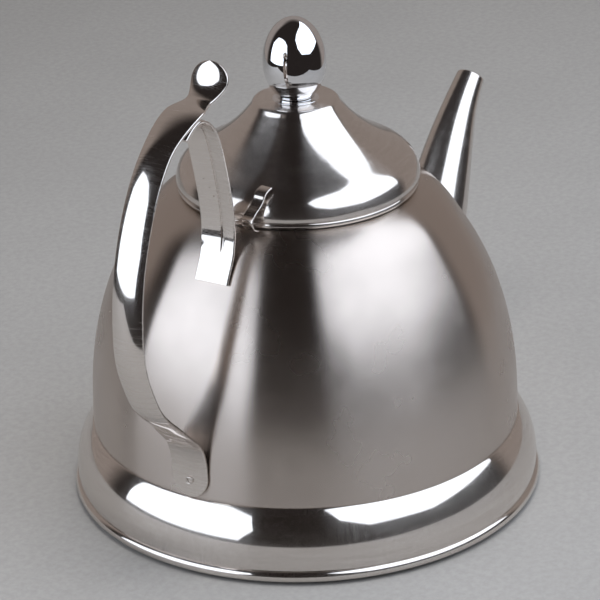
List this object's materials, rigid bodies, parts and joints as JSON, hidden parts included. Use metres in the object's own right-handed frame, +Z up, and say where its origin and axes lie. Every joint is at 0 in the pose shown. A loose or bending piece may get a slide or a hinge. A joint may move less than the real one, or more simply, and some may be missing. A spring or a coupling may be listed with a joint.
{
  "type": "teapot",
  "caption": "Small metal stove kettle for tea with a flared base, upright arched handle, tapered spout, lift-off bell lid with egg-shaped knob and a hanging tea infuser.",
  "frame": {"origin": "centre of the base, on the surface that the kettle stands on", "axes": "+Z up along the body's axis, +X towards the spout, handle on -X, +Y by the right-hand rule"},
  "size_m": [0.2168, 0.15, 0.1572],
  "materials": {
    "brushed_steel": "brushed",
    "polished_steel": "mirror polished",
    "knob_chrome": "mirror polished",
    "inner_steel": "satin",
    "disc_aluminium": "satin"
  },
  "bodies": {
    "pot": {"body_dome": "brushed_steel", "base_skirt": "polished_steel", "bottom_plate": "polished_steel", "heat_disc": "disc_aluminium", "base_cap": "inner_steel", "spout": "polished_steel", "handle_strap": "polished_steel", "handle_bracket": "polished_steel"},
    "infuser": {"infuser_wall": "inner_steel", "infuser_floor": "inner_steel", "infuser_rim": "polished_steel", "lid_clip": "polished_steel"},
    "lid": {"lid_shell": "polished_steel", "lid_collar": "inner_steel", "lid_knob": "knob_chrome", "knob_ferrule": "knob_chrome", "knob_washer": "inner_steel", "knob_screw": "inner_steel"}
  },
  "joints": [
    {"name": "infuser_lift", "type": "slide", "parent": "pot", "child": "infuser", "axis": [0, 0, 1], "range_m": [0, 0.12]},
    {"name": "lid_lift", "type": "slide", "parent": "infuser", "child": "lid", "axis": [0, 0, 1], "range_m": [0, 0.065], "deforming": ["lid_clip"]}
  ]
}
